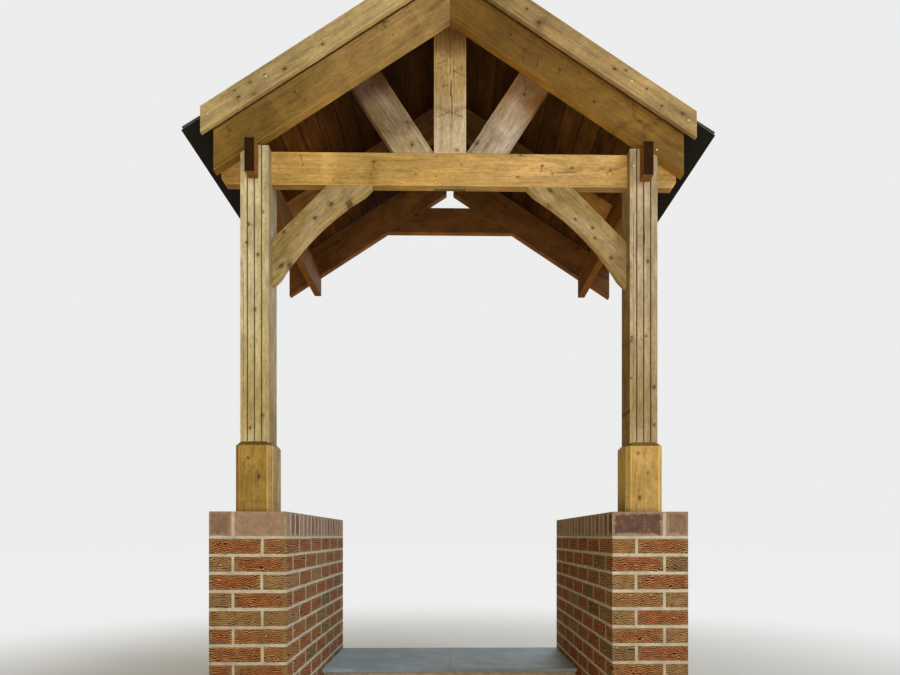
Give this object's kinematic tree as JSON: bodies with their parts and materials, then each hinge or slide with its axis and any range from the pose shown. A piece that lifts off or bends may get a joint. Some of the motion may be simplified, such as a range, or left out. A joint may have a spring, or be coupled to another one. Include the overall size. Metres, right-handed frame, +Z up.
{
  "type": "porch canopy",
  "caption": "Gabled timber porch canopy with curved braces and a king-post truss on grooved posts, standing on brick dwarf walls with a stone doorstep between them.",
  "frame": {"origin": "on the ground at the middle of the plan, below the ridge", "axes": "+Z up, +Y towards the house wall, +X to the right seen from the front"},
  "size_m": [2.286, 1.302, 3.5093],
  "materials": {
    "brickwork": "rustic orange-red and buff facing bricks with flush pale cream mortar",
    "coping_brick": "smooth pinkish-buff and purple-brown bricks on edge with pale mortar",
    "step_stone": "pale blue-grey paving stone with rounded front edge",
    "post_timber": "pale tan treated softwood with grain, knots and small checks",
    "frame_timber": "golden planed softwood with grain and knots",
    "brace_timber": "pale olive-tan treated softwood with knots",
    "board_timber": "brown softwood boards, shaded and slightly weathered",
    "slate": "plain dark grey slates, black beneath",
    "ridge_clay": "dark grey angled ridge tiles with mortar joints",
    "lead_sheet": "dull grey weathered lead sheet"
  },
  "bodies": {
    "root": {"left_dwarf_wall": "brickwork", "right_dwarf_wall": "brickwork", "left_coping": "coping_brick", "right_coping": "coping_brick", "left_step_slab": "step_stone", "right_step_slab": "step_stone", "left_post": "post_timber", "right_post": "post_timber", "left_eaves_plate": "frame_timber", "right_eaves_plate": "frame_timber", "left_strut": "frame_timber", "right_strut": "frame_timber", "left_front_brace": "brace_timber", "right_front_brace": "brace_timber", "left_front_rafter": "frame_timber", "right_front_rafter": "frame_timber", "left_middle_rafter": "frame_timber", "right_middle_rafter": "frame_timber", "left_wall_rafter": "frame_timber", "right_wall_rafter": "frame_timber", "left_roof_boards": "board_timber", "right_roof_boards": "board_timber", "left_roof_battens": "board_timber", "right_roof_battens": "board_timber", "left_roof_covering": "slate", "right_roof_covering": "slate", "left_bargeboard": "frame_timber", "right_bargeboard": "frame_timber", "left_wall_flashing": "lead_sheet", "right_wall_flashing": "lead_sheet", "step_riser": "brickwork", "tie_beam": "frame_timber", "king_post": "frame_timber", "wall_collar": "frame_timber", "ridge_board": "frame_timber", "ridge_cap": "ridge_clay"}
  },
  "joints": []
}
